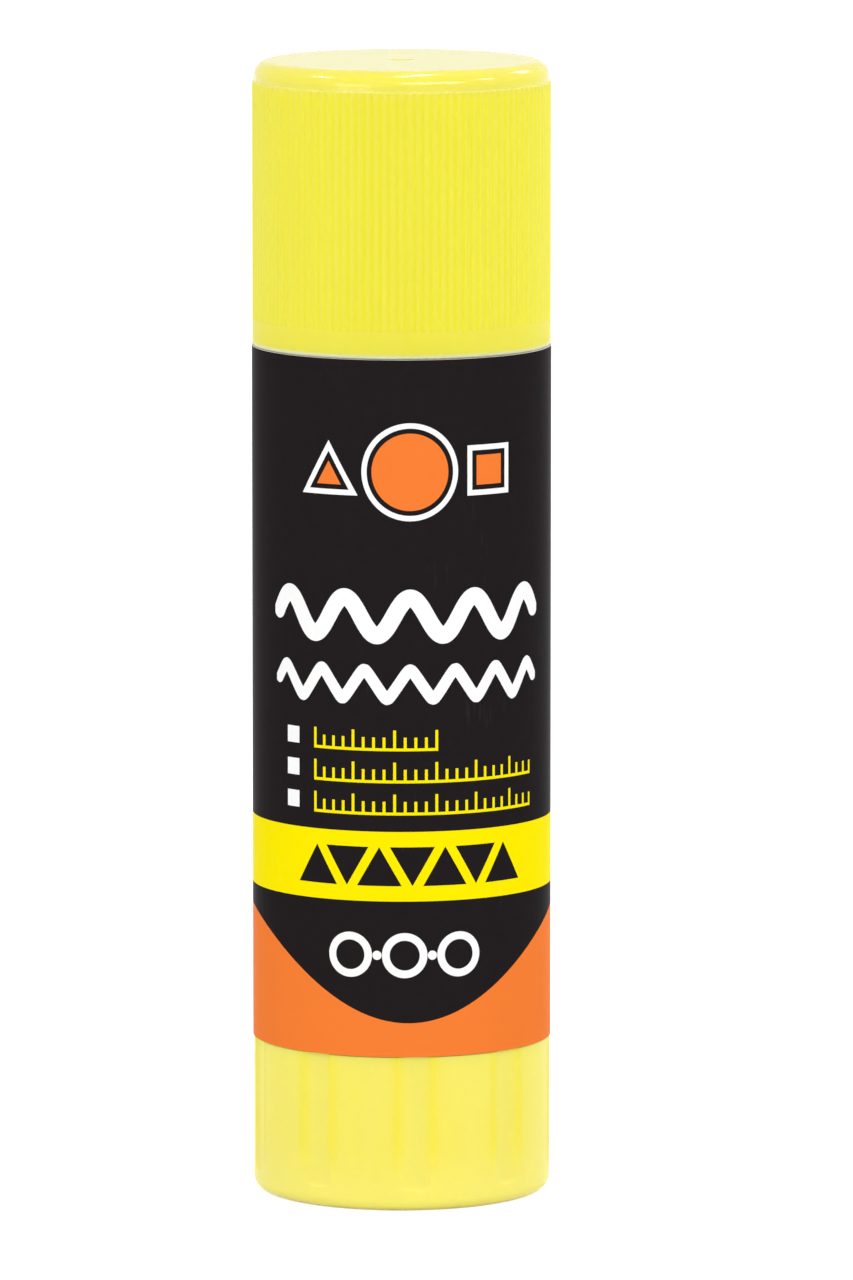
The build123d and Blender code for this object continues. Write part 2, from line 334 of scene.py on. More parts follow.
@dataclass(frozen=True)
class PlasticFinish:
    """A moulded thermoplastic: its colours and how it takes light."""

    name: str
    colour: Colour
    flow_colour: Colour
    roughness: float = 0.32
    scuff_roughness: float = 0.5
    translucency: float = 0.25
    glow_radius: Colour = (1.0, 0.9, 0.5)
    glow_depth: float = 1.6 * MM
    specular: float = 0.45
    flow_scale: float = 300.0
    grain_scale: float = 4000.0
    scuff_amount: float = 0.4
    bump_distance: float = 0.004 * MM

    def tinted(self, graph: NodeGraph, colour: Socket) -> Socket:
        """Leave the colour as it is: a plain moulding has no other tints."""
        return colour

    def gloss(self, graph: NodeGraph) -> Number:
        """Give the roughness of the clean skin."""
        return self.roughness

    def shine(self, graph: NodeGraph) -> Number:
        """Give the strength of the reflections."""
        return self.specular

    def material(self, skin: bpy.types.NodeTree) -> bpy.types.Material:
        """Build the material.

        Args:
            skin: The shared group for moulded skins.

        Returns:
            The finished material.
        """
        made, graph = new_material(self.name)
        marks = graph.add("ShaderNodeGroup", node_tree=skin, inputs={
            "Flow Scale": self.flow_scale, "Grain Scale": self.grain_scale,
            "Scuff Amount": self.scuff_amount})
        colour = graph.blend(marks.outputs["Flow"], self.colour, self.flow_colour)
        colour = self.tinted(graph, colour)
        roughness = graph.ramp(
            marks.outputs["Scuff"], 0.0, 1.0, self.gloss(graph), self.scuff_roughness)
        shader = graph.add("ShaderNodeBsdfPrincipled", inputs={
            "Base Color": colour,
            "Roughness": roughness,
            "Specular IOR Level": self.shine(graph),
            "Subsurface Weight": self.translucency,
            "Subsurface Radius": self.glow_radius,
            "Subsurface Scale": self.glow_depth,
            "Normal": graph.bump(marks.outputs["Height"], self.bump_distance)})
        graph.add("ShaderNodeOutputMaterial", {"Surface": shader.outputs[0]})
        return made


@dataclass(frozen=True)
class CapFinish(PlasticFinish):
    """The cap's yellow, glossy at the crown and satin down the ribbed grip, with painted light on
    the crown and painted shade in the rib valleys.
    """

    # Painted light and shade: a paler yellow for the crown, a cream highlight for the rib tops,
    # gate mark and mouth's edge, and a deeper yellow for the rib valleys.
    painted_light_colour: Colour = linear(241, 229, 88)
    painted_highlight_colour: Colour = linear(250, 246, 204)
    valley_shade_colour: Colour = linear(246, 236, 44)
    grip_roughness: float = 0.42
    grip_specular: float = 0.06
    rib_count: int = 112
    valley_shade_amount: float = 0.55
    rib_phase: float = 0.5
    rib_bottom: float = 79.5 * MM
    rib_top: float = 100.9 * MM
    rib_top_soft: float = 0.2 * MM
    rib_top_highlight_amount: float = 0.2
    band_soft: float = 0.2 * MM
    grip_soft: float = 0.6 * MM
    gate_radius: float = 1.1 * MM
    gate_soft: float = 0.25 * MM
    gate_light_amount: float = 0.35
    crown_low: float = 100.6 * MM
    crown_high: float = 102.6 * MM
    crown_soft: float = 0.4 * MM
    mouth: float = 77.1 * MM
    mouth_highlight_reach: float = 0.5 * MM
    bump_distance: float = 0.0008 * MM

    def tinted(self, graph: NodeGraph, colour: Socket) -> Socket:
        """Paint shade into the valleys between the ribs, and paint light on the crown, the rib
        tops, the gate mark and the mouth's edge.

        Args:
            graph: The material's nodes.
            colour: The colour of the plain wall.

        Returns:
            The tinted colour.
        """
        height, angle = graph.around()
        # Painted shade and light: a deeper, more saturated yellow in the valleys between the ribs
        # stands in for light passing through more plastic, with red and green lifted to even out
        # the ribs' own shading.
        turn = graph.maths("MULTIPLY_ADD", angle, float(self.rib_count), -self.rib_phase)
        valley_shade = graph.ramp(graph.maths("COSINE", turn), 1.0, -1.0, 0.0, self.valley_shade_amount)
        below = graph.ramp(height, self.crown_low, self.crown_low - self.grip_soft)
        above = graph.ramp(height, self.rib_bottom, self.rib_bottom + self.band_soft)
        grip = graph.maths("MULTIPLY", below, above)
        colour = graph.blend(graph.maths("MULTIPLY", valley_shade, grip), colour, self.valley_shade_colour)
        # Painted light: the crown is made paler, standing in for light shining through its
        # rounded edge.
        crown = graph.ramp(height, self.crown_low, self.crown_high)
        colour = graph.blend(crown, colour, self.painted_light_colour)
        # Painted highlight: a cream line at the top of the ribs, where the small fillet below the
        # crown would catch the light.
        off = graph.maths("ABSOLUTE", graph.maths("SUBTRACT", height, self.rib_top))
        step = graph.ramp(off, self.rib_top_soft, 0.0, 0.0, self.rib_top_highlight_amount)
        colour = graph.blend(step, colour, self.painted_highlight_colour)
        # Painted light: the gate mark on the top is made paler, lifting the shade in its recess.
        rim = self.gate_radius + self.gate_soft
        gate = graph.ramp(graph.reach(), rim, self.gate_radius, 0.0, self.gate_light_amount)
        colour = graph.blend(graph.maths("MULTIPLY", gate, crown), colour, self.painted_highlight_colour)
        # Painted highlight: a cream line along the cap's mouth, standing in for light coming out
        # of the thin rim.
        edge = graph.ramp(height, self.mouth + self.mouth_highlight_reach, self.mouth)
        return graph.blend(edge, colour, self.painted_highlight_colour)

    def stepped(self, graph: NodeGraph, grip: float, crown: float) -> Socket:
        """Give one value down the grip and another on the crown."""
        height, _ = graph.around()
        return graph.ramp(height, self.crown_low, self.crown_low + self.crown_soft, grip, crown)

    def gloss(self, graph: NodeGraph) -> Socket:
        """Give the roughness: glossy crown, satin grip."""
        return self.stepped(graph, self.grip_roughness, self.roughness)

    def shine(self, graph: NodeGraph) -> Socket:
        """Give the strength of the reflections: clear on the crown, faint on the grip."""
        return self.stepped(graph, self.grip_specular, self.specular)


@dataclass(frozen=True)
class KnobFinish(PlasticFinish):
    """The knob's yellow, with painted shade down the sides of each flute and painted light at the
    foot.
    """

    # Painted shade for the sides of the flutes, and painted light for the foot.
    flute_shade_colour: Colour = linear(250, 232, 86)
    painted_light_colour: Colour = linear(252, 236, 122)
    flute_count: int = 9
    flute_turn: float = -84.6
    flute_half: float = 6.8
    flute_soft: float = 4.0
    foot_light_top: float = 6.0 * MM
    foot_reach: float = 1.0 * MM
    bump_distance: float = 0.002 * MM

    def tinted(self, graph: NodeGraph, colour: Socket) -> Socket:
        """Paint shade down the sides of the flutes, and paint light on the foot below them.

        Args:
            graph: The material's nodes.
            colour: The colour of the plain wall.

        Returns:
            The tinted colour.
        """
        height, angle = graph.around()
        # Painted shade: the sides of each flute are given a deeper yellow.
        pitch = math.radians(360 / self.flute_count)
        turned = graph.maths("SUBTRACT", angle, math.radians(self.flute_turn))
        clear_of_zero = 20 * pitch
        off = graph.maths("PINGPONG", graph.maths("ADD", turned, clear_of_zero), pitch / 2)
        half, soft = math.radians(self.flute_half), math.radians(self.flute_soft)
        inside = graph.ramp(off, half - soft, half)
        outside = graph.ramp(off, half + soft, half)
        side = graph.maths("MULTIPLY", inside, outside)
        # Painted light: the foot below the flutes is made paler, fading out up the knob.
        above = graph.ramp(height, self.foot_reach, self.foot_light_top)
        colour = graph.blend(graph.maths("MULTIPLY", side, above), colour, self.flute_shade_colour)
        return graph.blend(above, self.painted_light_colour, colour)


@dataclass(frozen=True)
class InkFinish:
    """One printed ink under the film's clear gloss."""

    name: str
    colour: Colour
    mottle_colour: Colour
    rub_colour: Colour
    roughness: float = 0.34
    rub_dulling: float = 0.2
    specular: float = 0.003
    rub_amount: float = 0.25
    bump_strength: float = 0.6
    bump_distance: float = 0.006 * MM

    def material(self, film: bpy.types.NodeTree) -> bpy.types.Material:
        """Build the material.

        Args:
            film: The shared group for the printed film.

        Returns:
            The finished material.
        """
        made, graph = new_material(self.name)
        marks = graph.add("ShaderNodeGroup", node_tree=film, inputs={
            "Rub Amount": self.rub_amount})
        ink = graph.blend(marks.outputs["Mottle"], self.colour, self.mottle_colour)
        colour = graph.blend(marks.outputs["Rub"], ink, self.rub_colour)
        roughness = graph.ramp(
            marks.outputs["Rub"], 0.0, 1.0, self.roughness, self.roughness + self.rub_dulling)
        normal = graph.bump(marks.outputs["Height"], self.bump_distance, self.bump_strength)
        shader = graph.add("ShaderNodeBsdfPrincipled", inputs={
            "Base Color": colour,
            "Roughness": roughness,
            "Specular IOR Level": self.specular,
            "Normal": normal})
        graph.add("ShaderNodeOutputMaterial", {"Surface": shader.outputs[0]})
        return made


@dataclass(frozen=True)
class PasteFinish:
    """The waxy white paste of the glue."""

    name: str = "glue_paste"
    colour: Colour = linear(240, 238, 228)
    dry_colour: Colour = linear(232, 228, 214)
    roughness: float = 0.38
    dry_dulling: float = 0.25
    translucency: float = 0.5
    glow_radius: Colour = (1.0, 0.95, 0.8)
    glow_depth: float = 2.0 * MM
    streak_scale: float = 900.0
    patch_scale: float = 260.0
    bump_strength: float = 0.8
    bump_distance: float = 0.05 * MM

    def material(self) -> bpy.types.Material:
        """Build the material.

        Returns:
            The finished material, with smeared streaks and drier patches.
        """
        made, graph = new_material(self.name)
        place = graph.add("ShaderNodeTexCoord").outputs["Object"]
        smeared = graph.stretched(place, (0.25, 1.0, 1.0))
        streaks = graph.noise(smeared, self.streak_scale, detail=4.0, roughness=0.6)
        patches = graph.ramp(graph.noise(place, self.patch_scale, roughness=0.6), 0.45, 0.7)
        colour = graph.blend(patches, self.colour, self.dry_colour)
        roughness = graph.ramp(
            patches, 0.0, 1.0, self.roughness, self.roughness + self.dry_dulling)
        shader = graph.add("ShaderNodeBsdfPrincipled", inputs={
            "Base Color": colour,
            "Roughness": roughness,
            "Subsurface Weight": self.translucency,
            "Subsurface Radius": self.glow_radius,
            "Subsurface Scale": self.glow_depth,
            "Normal": graph.bump(streaks, self.bump_distance, self.bump_strength)})
        graph.add("ShaderNodeOutputMaterial", {"Surface": shader.outputs[0]})
        return made


CAP_YELLOW = CapFinish(
    "cap_yellow", linear(239, 228, 80), linear(240, 229, 85), flow_scale=420.0, roughness=0.14,
    translucency=0.9, specular=0.38)
KNOB_YELLOW = KnobFinish(
    "knob_yellow", linear(251, 234, 107), linear(251, 235, 115), roughness=0.3,
    scuff_roughness=0.4, translucency=0.9, glow_depth=0.8 * MM, specular=0.06)
BARREL_WHITE = PlasticFinish(
    "barrel_white", linear(238, 238, 234), linear(244, 244, 241), glow_radius=(1.0, 1.0, 1.0))
SEAL_MILKY = PlasticFinish(
    "seal_milky", linear(236, 237, 232), linear(244, 244, 240), roughness=0.4, translucency=0.5,
    glow_radius=(1.0, 1.0, 1.0))
SCREW_NATURAL = PlasticFinish(
    "screw_natural", linear(230, 230, 224), linear(238, 238, 233), roughness=0.42,
    translucency=0.4, glow_radius=(1.0, 1.0, 0.95))


class Ink(Enum):
    """The inks of the label, each with its finish."""

    BLACK = InkFinish("ink_black", linear(32, 28, 29), linear(36, 32, 33), linear(60, 56, 56))
    ORANGE = InkFinish(
        "ink_orange", linear(244, 126, 51), linear(245, 128, 55), linear(252, 152, 90))
    YELLOW = InkFinish(
        "ink_yellow", linear(252, 233, 0), linear(252, 235, 5), linear(253, 241, 90))
    WHITE = InkFinish(
        "ink_white", linear(248, 247, 247), linear(251, 251, 251), linear(238, 238, 238))


def polygon(centre: Point, radius: float, corners: int, turn: float = 90.0) -> Outline:
    """Make a regular polygon.

    Args:
        centre: Its centre.
        radius: Its outer radius.
        corners: How many corners it has.
        turn: Direction of its first corner, in degrees.

    Returns:
        Its corners, anticlockwise.
    """
    angles = [math.radians(turn + 360 * i / corners) for i in range(corners)]
    return [(centre[0] + radius * math.cos(a), centre[1] + radius * math.sin(a)) for a in angles]


def rectangle(centre: Point, width: float, height: float) -> Outline:
    """Make an upright rectangle about its centre.

    Args:
        centre: Its centre.
        width: Its width.
        height: Its height.

    Returns:
        Its corners, anticlockwise.
    """
    x, y = centre
    w, h = width / 2, height / 2
    return [(x - w, y - h), (x + w, y - h), (x + w, y + h), (x - w, y + h)]


def stroke(path: Outline, width: float) -> Outline:
    """Make a line of even width with round ends, along a path that runs to the right.

    Args:
        path: The points of its middle line, close together.
        width: Its width.

    Returns:
        Its outline, anticlockwise.
    """
    half = width / 2
    start, length = path[0][0] - half, path[-1][0] - path[0][0] + width
    steps = 2 * len(path)
    above, below = [], []
    for i in range(1, steps):
        x = start + length * i / steps
        near = [(z, math.sqrt(half ** 2 - (x - u) ** 2)) for u, z in path if abs(x - u) < half]
        above.append((x, max(z + rise for z, rise in near)))
        below.append((x, min(z - rise for z, rise in near)))
    return below + above[::-1]


@dataclass
class Label:
    """The printed film round the barrel, drawn flat in millimetres and wrapped round it.

    Flat drawings have u, the distance round the barrel from the front, to the right, and z, the
    height above the floor.
    """

    radius: float
    bottom: float
    top: float
    thickness: float = 0.045
    overlap: float = 3.0
    overlap_drop: float = 0.05
    overlap_ramp: float = 1.2
    facet_degrees: float = 2.0
    band_bottom: float = 28.3
    band_top: float = 34.6
    wave_middle: float = 21.8
    wave_height: float = 4.55
    wave_turn: float = 0.7
    print_middle: float = 0.8
    emblem_height: float = 67.0
    emblem_radius: float = 4.4
    title_heights: tuple[float, float] = (54.0, 47.9)
    list_left: float = -8.2
    list_spans: tuple[int, int, int] = (13, 24, 24)
    list_heights: tuple[float, float, float] = (42.9, 40.0, 37.1)
    lobe_height: float = 23.4
    drawing: list[tuple[Outline, Ink]] = field(default_factory=list)

    @property
    def half_girth(self) -> float:
        """Half the way round the barrel."""
        return math.pi * self.radius

    @property
    def end(self) -> float:
        """Half the film's length, with its share of the overlap."""
        return self.half_girth + self.overlap / 2

    def ink(self, colour: Ink, *outlines: Outline) -> None:
        """Print closed outlines in one ink, over what is there already."""
        self.drawing.extend((outline, colour) for outline in outlines)

    def print_fields(self) -> None:
        """Print the orange field with its wave, and the yellow ring band."""
        end, steps = self.end, 240
        wave = []
        for i in range(steps + 1):
            u = end - 2 * end * i / steps
            swing = math.cos(2 * (u - self.wave_turn) / self.radius)
            wave.append((u, self.wave_middle - self.wave_height * swing))
        self.ink(Ink.ORANGE, [(-end, self.bottom), (end, self.bottom)] + wave)
        middle = (self.band_bottom + self.band_top) / 2
        self.ink(Ink.YELLOW, rectangle((0, middle), 2 * end, self.band_top - self.band_bottom))

    def print_emblem(self) -> None:
        """Print a disc between a triangle and a square, orange in white rims."""
        middle, z, size = self.print_middle, self.emblem_height, self.emblem_radius
        small, reach, drop = 0.66 * size, 1.72 * size, 0.12 * size
        figures = (
            ((middle, z), size, 72, 90.0),
            ((middle - reach, z - drop), small * 1.12, 3, 90.0),
            ((middle + reach, z), small * 1.1, 4, 45.0),
        )
        for centre, radius, corners, turn in figures:
            slant = math.cos(math.pi / corners)
            rim, gap = 0.11 * size / slant, 0.1 * size / slant
            self.ink(Ink.WHITE, polygon(centre, radius, corners, turn))
            self.ink(Ink.BLACK, polygon(centre, radius - rim, corners, turn))
            self.ink(Ink.ORANGE, polygon(centre, radius - rim - gap, corners, turn))

    def print_beads(self) -> None:
        """Print two white lines like laid beads of glue: a bold wave and a thinner zigzag."""
        length, steps = 27.0, 180
        half_waves, wave_swing, wave_width = 9, 1.7, 1.55
        teeth, tooth_swing, tooth_width, sharpness = 13, 1.6, 1.05, 0.96
        upper, lower = self.title_heights
        wave, zigzag = [], []
        for i in range(steps + 1):
            share = i / steps
            place = self.print_middle + length * (share - 0.5)
            wave.append((place, upper + wave_swing * math.sin(half_waves * math.pi * share)))
            tooth = math.asin(sharpness * math.sin(teeth * math.pi * share)) / (math.pi / 2)
            zigzag.append((place, lower + tooth_swing * tooth))
        self.ink(Ink.WHITE, stroke(wave, wave_width), stroke(zigzag, tooth_width))

    def print_list(self, left: float, spans: Iterable[int], heights: Iterable[float],
                   colour: Ink = Ink.YELLOW, boxes: bool = True) -> None:
        """Print rows of ruler ticks, each behind a small white box.

        Args:
            left: Where the ticks start.
            spans: How many ticks each row has.
            heights: The middle height of each row.
            colour: The ink of the ticks.
            boxes: Whether the rows have boxes.
        """
        pitch, tall, short, tall_every, line = 0.95, 1.75, 1.1, 4, 0.26
        box, box_gap = 1.5, 2.6
        for count, z in zip(spans, heights):
            if boxes:
                self.ink(Ink.WHITE, rectangle((left - box_gap, z), box, box))
            foot = z - tall / 2
            run = pitch * (count - 1)
            self.ink(colour, rectangle((left + run / 2, foot), run + line, line))
            for i in range(count):
                height = short if i % tall_every else tall
                self.ink(colour, rectangle((left + pitch * i, foot + height / 2), line, height))

    def print_band_row(self) -> None:
        """Print a row of black triangles, point up and point down, on the yellow band."""
        count, start, pitch, radius = 7, -8.0, 3.0, 2.35
        middle = (self.band_bottom + self.band_top) / 2
        for i in range(count):
            way = -1 if i % 2 else 1
            centre = (start + pitch * i, middle - way * radius / 4)
            self.ink(Ink.BLACK, polygon(centre, radius, 3, way * 90.0))

    def print_lobe_row(self) -> None:
        """Print three white rings with dots between them, low on the front."""
        z = self.lobe_height
        ring, hole, dot = 2.05, 1.35, 0.42
        for u in (-4.7, 0.3, 5.3):
            self.ink(Ink.WHITE, polygon((u, z), ring, 48))
            self.ink(Ink.BLACK, polygon((u, z), hole, 40))
        for u in (-2.2, 2.8):
            self.ink(Ink.WHITE, polygon((u, z), dot, 20))

    def print_back(self) -> None:
        """Print the small figures that a label has on its back, either side of the seam."""
        left, right, top, drop = -36.0, 24.0, 60.0, 2.6
        spans = (12, 13, 11, 13, 12, 8)
        rows = [top - drop * i for i in range(len(spans))]
        self.print_list(right, spans, rows, Ink.YELLOW, boxes=False)
        self.print_list(left, (12, 9, 12), (45.0, 42.2, 39.4), Ink.WHITE, boxes=False)

    def draw(self) -> None:
        """Print everything, from the ground up."""
        self.print_fields()
        self.print_emblem()
        self.print_beads()
        self.print_list(self.list_left, self.list_spans, self.list_heights)
        self.print_band_row()
        self.print_lobe_row()
        self.print_back()

    def film_radius(self, u: float) -> float:
        """Give the film's outer radius at u, which dips where its start lies under its end."""
        share = min(max((self.overlap - self.end - u) / self.overlap_ramp + 1, 0.0), 1.0)
        return self.radius - self.overlap_drop * share * share * (3 - 2 * share)

    def flat_mesh(self) -> tuple[list[Point], list[list[int]], list[Ink]]:
        """Cut the flat film into triangles that follow every printed edge.

        Returns:
            The points, the triangles and the ink of each triangle.
        """
        end = self.end
        border = [(-end, self.bottom), (end, self.bottom), (end, self.top), (-end, self.top)]
        points = [Vector(p) for p in border]
        edges = []
        count = int(round(2 * end / self.radius / math.radians(self.facet_degrees)))
        for i in range(1, count):
            u = -end + 2 * end * i / count
            edges.append((len(points), len(points) + 1))
            points += [Vector((u, self.bottom)), Vector((u, self.top))]
        faces = [[0, 1, 2, 3]]
        inks = [Ink.BLACK]
        for outline, colour in self.drawing:
            faces.append(list(range(len(points), len(points) + len(outline))))
            points += [Vector(p) for p in outline]
            inks.append(colour)
        inside_only, tolerance = 1, 1e-5
        places, _, pieces, _, _, origins = delaunay_2d_cdt(
            points, edges, faces, inside_only, tolerance, True)
        colours = [inks[max(found)] if found else Ink.BLACK for found in origins]
        return [tuple(p) for p in places], [list(corners) for corners in pieces], colours

    @staticmethod
    def shade(mesh: bpy.types.Mesh, radials: list[Vector], count: int) -> None:
        """Shade both skins of the film as round, and the rims between them as flat.

        Args:
            mesh: The film, with its outer skin's faces first, then the inner skin's.
            radials: The direction out from the axis at each vertex.
            count: How many faces each skin has.
        """
        normals = []
        for face in mesh.polygons:
            for loop in face.loop_indices:
                radial = radials[mesh.loops[loop].vertex_index]
                if face.index < count:
                    normals.append(radial)
                elif face.index < 2 * count:
                    normals.append(-radial)
                else:
                    normals.append(face.normal.copy())
        mesh.polygons.foreach_set("use_smooth", [True] * len(mesh.polygons))
        mesh.normals_split_custom_set(normals)
        mesh.update()

    def build(self) -> bpy.types.Object:
        """Wrap the flat film round the barrel as a closed skin.

        Returns:
            The film's object, with one material for each ink.
        """
        points, triangles, colours = self.flat_mesh()
        count = len(points)
        vertices, radials = [], []
        for inset in (0.0, self.thickness):
            for u, z in points:
                side, depth = math.sin(u / self.radius), -math.cos(u / self.radius)
                radius = self.film_radius(u) - inset
                vertices.append((radius * side * MM, radius * depth * MM, z * MM))
                radials.append(Vector((side, depth, 0)))
        single = {}
        for corners in triangles:
            for a, b in zip(corners, corners[1:] + corners[:1]):
                if single.pop((b, a), None) is None:
                    single[(a, b)] = True
        inner = [[i + count for i in reversed(corners)] for corners in triangles]
        rims = [[b, a, a + count, b + count] for a, b in single]
        mesh = bpy.data.meshes.new("label_film")
        mesh.from_pydata(vertices, [], triangles + inner + rims)
        order = list(Ink)
        film = printed_film()
        for ink in order:
            mesh.materials.append(ink.value.material(film))
        back = order.index(Ink.WHITE)
        inks = [order.index(c) for c in colours] + [back] * (len(inner) + len(rims))
        mesh.polygons.foreach_set("material_index", inks)
        self.shade(mesh, radials, len(triangles))
        return new_object("label_film", mesh)


def dress(node: str, material: bpy.types.Material) -> None:
    """Give a CAD node its material.

    Args:
        node: The node's name.
        material: The material.
    """
    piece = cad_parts[node]
    piece.data.materials.clear()
    piece.data.materials.append(material)
    log.info("dressed %s in %s", node, material.name)


@dataclass
class Cap:
    """The pull-off cap: its ribbed shell and the sealing cup inside it."""

    shell_finish: PlasticFinish = CAP_YELLOW
    seal_finish: PlasticFinish = SEAL_MILKY

    def dress(self, skin: bpy.types.NodeTree) -> None:
        """Give the shell and the seal their finish."""
        dress("cap_shell", self.shell_finish.material(skin))
        dress("cap_seal", self.seal_finish.material(skin))


@dataclass
class Barrel:
    """The outer sleeve, the glue tube inside it and the label round them."""

    finish: PlasticFinish = BARREL_WHITE

    def dress(self, skin: bpy.types.NodeTree) -> None:
        """Give the sleeve and the tube their finish.

        Args:
            skin: The shared group for moulded skins.
        """
        white = self.finish.material(skin)
        dress("outer_sleeve", white)
        dress("glue_tube", white)

    def wrap(self) -> None:
        """Print the label and wrap it round the sleeve."""
        low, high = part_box("label")
        label = Label(radius=high.x / MM, bottom=low.z / MM, top=high.z / MM)
        label.draw()
        film = label.build()
        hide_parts("label")
        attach(film, "barrel")
        log.info("wrapped %s with %d faces", film.name, len(film.data.polygons))


@dataclass
class Drive:
    """The turning foot: the fluted knob and the screw that it drives."""

    knob_finish: PlasticFinish = KNOB_YELLOW
    screw_finish: PlasticFinish = SCREW_NATURAL

    def dress(self, skin: bpy.types.NodeTree) -> None:
        """Give the knob and the screw their finish."""
        dress("knob", self.knob_finish.material(skin))
        dress("spindle", self.screw_finish.material(skin))


class Ring(Enum):
    """The kinds of ring in the glue's mesh, by what places them."""

    FIXED = "a radius and a height"
    SIDE = "the grooved side, at a height"
    EDGE = "the rounded edge, a share of the way over it"
    FACE = "the worn top, a share of the way out"


@dataclass
class GlueStick:
    """The stick of glue, as a worn block of paste round the screw, in millimetres."""

    radius: float
    bottom: float
    top: float
    cup_top: float
    nut_top: float
    cup_radius: float = 9.05
    nut_radius: float = 5.0
    hole_radius: float = 3.75
    groove_depth: float = 0.45
    groove_half_width: float = 0.72
    groove_count: int = 4
    nick_degrees: float = 0.12
    least_degrees: float = 0.03
    dome: float = 0.55
    dome_power: float = 2.2
    slant: float = 0.16
    slant_way: tuple[float, float] = (0.8, 0.6)
    streak_grain: Place = (0.22, 1.5, 4.0)
    lump_grain: Place = (0.5, 0.5, 9.0)
    streak_height: float = 0.07
    lump_depth: float = 0.09
    edge: float = 1.3
    steps_round: int = 288
    steps_up: int = 6
    steps_over: int = 10
    steps_across: int = 22
    sharp_degrees: float = 40.0
    finish: PasteFinish = PasteFinish()

    def angles(self) -> list[float]:
        """List the directions of the mesh's columns, with a sharp pair at each groove's side.

        Returns:
            Angles in radians, in order.
        """
        half = math.asin(self.groove_half_width / self.radius)
        found = [2 * math.pi * i / self.steps_round for i in range(self.steps_round)]
        nick = math.radians(self.nick_degrees)
        for k in range(self.groove_count):
            middle = 2 * math.pi * k / self.groove_count
            for side in (-1, 1):
                found += [middle + side * half, middle + side * (half + nick)]
        wrapped = sorted(a % (2 * math.pi) for a in found)
        kept = [wrapped[0]]
        for angle in wrapped[1:]:
            if angle - kept[-1] > math.radians(self.least_degrees):
                kept.append(angle)
        return kept

    def side_radius(self, angle: float) -> float:
        """Give the radius of the side, which is cut back by a groove at each spline.

        Args:
            angle: The direction.

        Returns:
            The radius.
        """
        step = 2 * math.pi / self.groove_count
        off = abs((angle + step / 2) % step - step / 2)
        half = math.asin(self.groove_half_width / self.radius)
        slack = 1e-6
        if off <= half + slack:
            return (self.radius - self.groove_depth) / math.cos(off)
        return self.radius

    def worn(self, x: float, y: float, share: float) -> float:
        """Give the height of the worn top.

        Args:
            x: Place across.
            y: Place deep.
            share: Distance from the hole to the side, from 0 to 1.

        Returns:
            The height.
        """
        way_x, way_y = self.slant_way
        slope = -self.slant * (1 + (way_x * x + way_y * y) / self.radius)
        streaks, lumps = (
            noise.noise(Vector((grain_x * x, grain_y * y, layer)))
            for grain_x, grain_y, layer in (self.streak_grain, self.lump_grain))
        fall = self.dome * share ** self.dome_power
        relief = self.streak_height * streaks
        return self.top - fall + slope + relief - self.lump_depth * abs(lumps)

    def rings(self) -> list[tuple[Ring, float, float]]:
        """List the rings of the mesh, from the bottom of the hole round to its top.

        Returns:
            For each ring its kind, and two numbers that place it.
        """
        rise = self.top - 2 * self.edge - self.cup_top
        up, over, across = self.steps_up, self.steps_over, self.steps_across
        return [
            (Ring.FIXED, self.nut_radius, self.bottom),
            (Ring.FIXED, self.cup_radius, self.bottom),
            (Ring.FIXED, self.cup_radius, self.cup_top),
            (Ring.SIDE, 0.0, self.cup_top),
            *((Ring.SIDE, 0.0, self.cup_top + rise * i / up) for i in range(1, up + 1)),
            *((Ring.EDGE, i / over, 0.0) for i in range(1, over + 1)),
            *((Ring.FACE, 1 - i / across, 0.0) for i in range(1, across + 1)),
            (Ring.FIXED, self.hole_radius, self.nut_top),
            (Ring.FIXED, self.nut_radius, self.nut_top),
        ]

    def place(self, kind: Ring, first: float, second: float, angle: float) -> Place:
        """Place one vertex of a ring.

        Args:
            kind: The kind of ring.
            first: Its first number.
            second: Its second number.
            angle: The direction.

        Returns:
            The point in millimetres.
        """
        side = self.side_radius(angle)
        if kind is Ring.FIXED:
            radius, height = first, second
        elif kind is Ring.SIDE:
            radius, height = side, second
        else:
            turn = first * math.pi / 2
            inner = side - self.edge
            if kind is Ring.EDGE:
                radius = inner + self.edge * math.cos(turn)
            else:
                radius = self.hole_radius + (inner - self.hole_radius) * first
            share = (radius - self.hole_radius) / (self.radius - self.hole_radius)
            height = self.worn(radius * math.cos(angle), radius * math.sin(angle), share)
            if kind is Ring.EDGE:
                height -= self.edge * (1 - math.sin(turn))
        return radius * math.cos(angle), radius * math.sin(angle), height

    def build(self) -> bpy.types.Object:
        """Build the closed mesh of the paste.

        Returns:
            The glue's object.
        """
        angles = self.angles()
        rings = self.rings()
        wide = len(angles)
        vertices = [self.place(*ring, angle) for ring in rings for angle in angles]
        faces = []
        for i in range(len(rings)):
            here, there = i * wide, (i + 1) % len(rings) * wide
            for j in range(wide):
                k = (j + 1) % wide
                faces.append((here + j, here + k, there + k, there + j))
        mesh = bpy.data.meshes.new("glue_paste")
        mesh.from_pydata([tuple(c * MM for c in v) for v in vertices], [], faces)
        mesh.polygons.foreach_set("use_smooth", [True] * len(faces))
        mesh.materials.append(self.finish.material())
        mesh.set_sharp_from_angle(angle=math.radians(self.sharp_degrees))
        return new_object("glue_paste", mesh)


